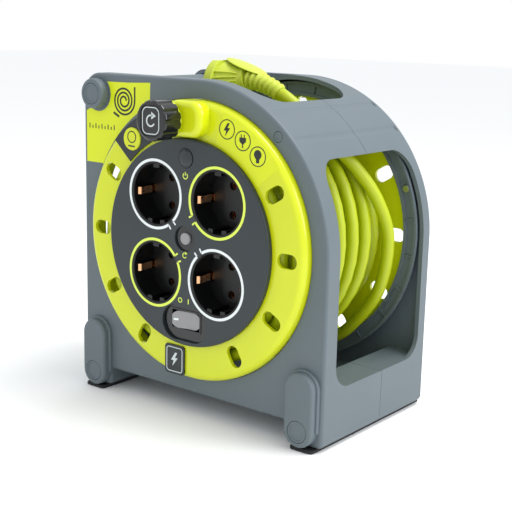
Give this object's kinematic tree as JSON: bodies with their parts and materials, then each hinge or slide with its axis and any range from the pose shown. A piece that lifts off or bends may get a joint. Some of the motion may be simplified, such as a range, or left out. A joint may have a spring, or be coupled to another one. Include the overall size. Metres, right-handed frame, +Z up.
{
  "type": "extension cord reel",
  "caption": "Enclosed extension cord reel: a grey moulded case carries a lime winding drum with earthed sockets, switch, cut-out, crank knob, wound cable and plug.",
  "frame": {"origin": "on the floor, under the middle of the reel from side to side and from the knob's front to the rear feet", "axes": "+Z up, -Y towards the sockets and the crank knob, +X to the right seen from the front"},
  "size_m": [0.211, 0.163, 0.2382],
  "materials": {
    "case_grey": "fine-textured polypropylene",
    "drum_lime": "smooth moulded",
    "cable_lime": "soft PVC sheath",
    "panel_dark": "fine-textured",
    "black_plastic": "satin moulded",
    "button_grey": "satin moulded",
    "lens_smoke": "smoked transparent lens",
    "brass": "pressed",
    "steel": "zinc plated",
    "rubber": "soft strip"
  },
  "bodies": {
    "case": {"front_cover": "case_grey", "rear_cover": "case_grey", "carry_bar": "case_grey", "drum_keeper": "case_grey", "foot_pad_left": "rubber", "foot_pad_right": "rubber", "screw_cap_corner": "case_grey", "screw_cap_left_foot": "case_grey", "screw_cap_right_foot": "case_grey", "screw_cap_right": "case_grey", "case_screw_left_foot": "steel", "case_screw_right_foot": "steel", "case_screw_corner": "steel", "case_screw_right": "steel", "keeper_screw_1": "steel", "keeper_screw_2": "steel", "keeper_screw_3": "steel", "keeper_screw_4": "steel", "cable_lead": "cable_lime", "plug_body": "drum_lime", "plug_pin_1": "steel", "plug_pin_2": "steel", "plug_earth_clip_top": "brass", "plug_earth_clip_bottom": "brass"},
    "drum": {"badge_plate": "black_plastic", "cable_clamp": "black_plastic", "cable_inner_layers": "cable_lime", "cable_winding": "cable_lime", "clamp_screw_1": "steel", "clamp_screw_2": "steel", "crank_plate": "black_plastic", "drum_front_flange": "drum_lime", "drum_hub": "drum_lime", "earth_bar": "brass", "earth_clips_lower_left": "brass", "earth_clips_lower_right": "brass", "earth_clips_upper_left": "brass", "earth_clips_upper_right": "brass", "hub_screw_1": "steel", "hub_screw_2": "steel", "hub_screw_3": "steel", "knob_axle": "steel", "live_bar": "brass", "neutral_bar": "brass", "pilot_lamp": "brass", "pilot_lens": "lens_smoke", "socket_panel": "panel_dark", "socket_well_lower_left": "black_plastic", "socket_well_lower_right": "black_plastic", "socket_well_upper_left": "black_plastic", "socket_well_upper_right": "black_plastic", "switch_body": "black_plastic", "thermal_cutout": "black_plastic"},
    "knob": {"crank_knob": "black_plastic", "knob_cap": "black_plastic"},
    "rocker": {"rocker": "button_grey"},
    "reset_button": {"reset_button": "button_grey"}
  },
  "joints": [
    {"name": "drum_spin", "type": "hinge", "parent": "case", "child": "drum", "pos_m": [0, 0, 0.1205], "axis": [0, 1, 0], "continuous": true},
    {"name": "knob_spin", "type": "hinge", "parent": "drum", "child": "knob", "pos_m": [-0.01, -0.0755, 0.2009], "axis": [0, 1, 0], "continuous": true},
    {"name": "rocker_tilt", "type": "hinge", "parent": "drum", "child": "rocker", "pos_m": [0, -0.0546, 0.0685], "axis": [0, 0, -1], "range_deg": [0, 18]},
    {"name": "reset_press", "type": "slide", "parent": "drum", "child": "reset_button", "axis": [0, 1, 0], "range_m": [0, 0.0025], "stiffness_N_per_m": 300}
  ]
}
